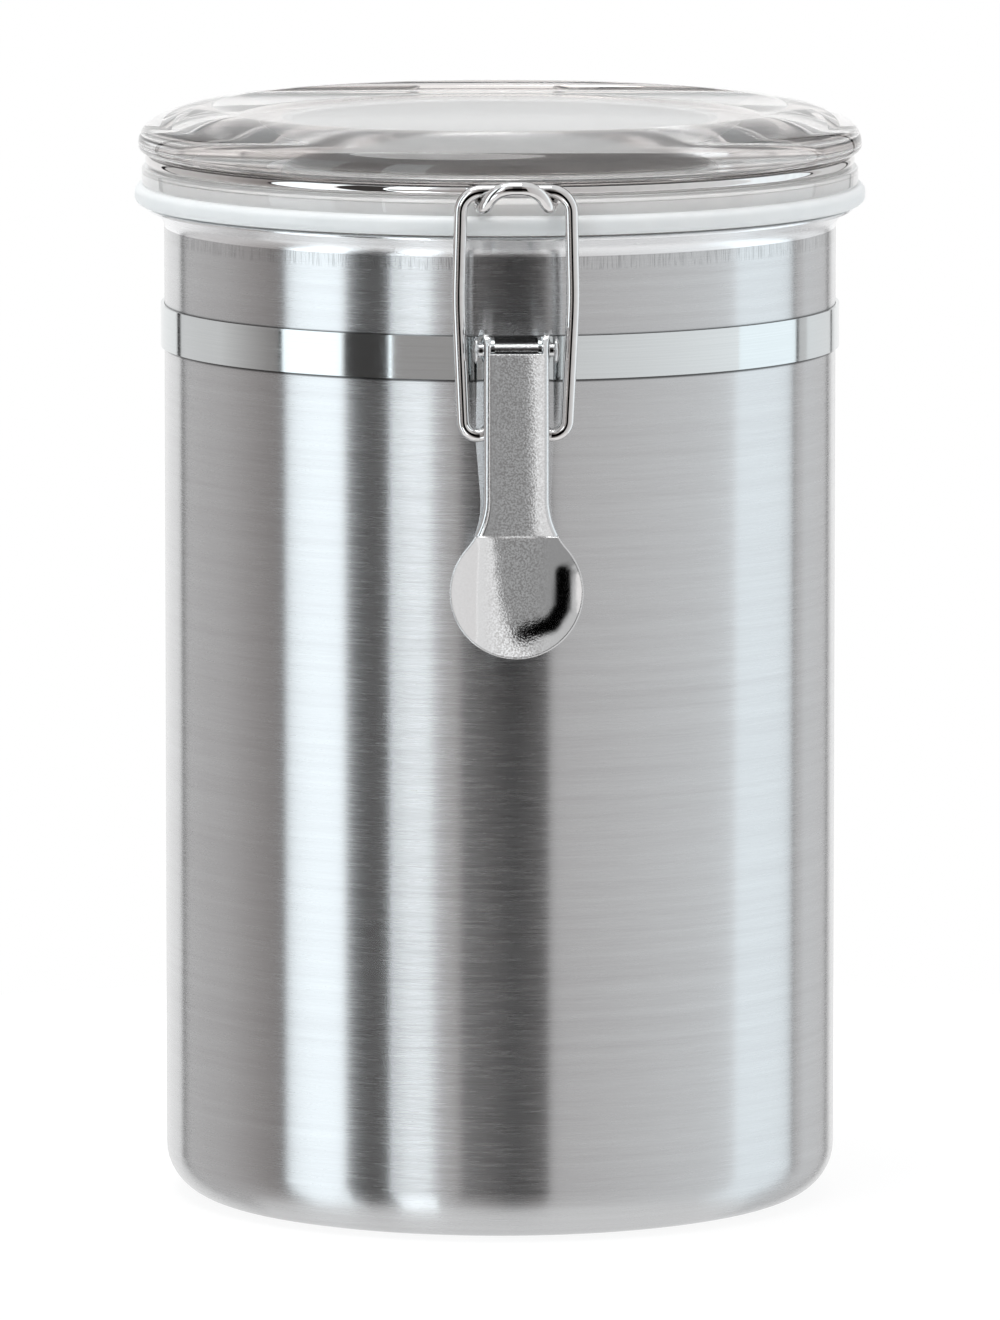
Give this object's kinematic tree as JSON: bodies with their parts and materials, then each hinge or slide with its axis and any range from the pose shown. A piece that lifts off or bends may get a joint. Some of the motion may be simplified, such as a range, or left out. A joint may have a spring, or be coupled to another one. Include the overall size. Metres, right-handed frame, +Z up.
{
  "type": "food canister",
  "caption": "Tall steel food canister with a clear hinged lid, a soft seal, and a wire bail and lever latch on a strap round the can.",
  "frame": {"origin": "centre of the flat foot under the can, on the can's axis", "axes": "+Z up the can's axis, -Y towards the latch, +Y towards the lid's hinge, +X to the right seen from the latch"},
  "size_m": [0.127, 0.1384, 0.1905],
  "materials": {
    "brushed_steel_can": "stainless steel brushed round the can",
    "polished_steel_strap": "polished stainless steel strip",
    "chromed_hardware": "chrome plate on pressed steel",
    "chromed_wire": "chrome plate on drawn steel wire",
    "clear_acrylic": "clear moulded acrylic",
    "white_silicone": "milky white silicone rubber"
  },
  "bodies": {
    "canister": {"canister_body": "brushed_steel_can", "clamp_band": "polished_steel_strap", "lever_rivet": "chromed_hardware", "hinge_bracket": "polished_steel_strap"},
    "lever": {"latch_lever": "chromed_hardware"},
    "bail": {"bail_wire": "chromed_wire"},
    "lid": {"lid": "clear_acrylic", "lid_wire": "chromed_wire", "lid_gasket": "white_silicone"}
  },
  "joints": [
    {"name": "lid_open", "type": "hinge", "parent": "canister", "child": "lid", "pos_m": [0, 0.0645, 0.1525], "axis": [-1, 0, 0], "range_deg": [0, 185]},
    {"name": "lever_swing", "type": "hinge", "parent": "canister", "child": "lever", "pos_m": [0, -0.066, 0.1547], "axis": [-1, 0, 0], "range_deg": [0, 100]},
    {"name": "bail_swing", "type": "hinge", "parent": "lever", "child": "bail", "pos_m": [0, -0.0635, 0.1399], "axis": [-1, 0, 0], "range_deg": [-156, 0]}
  ],
  "couplings": [
    {"joint": "bail_swing", "follows": "lever_swing", "ratio": -1.55}
  ]
}
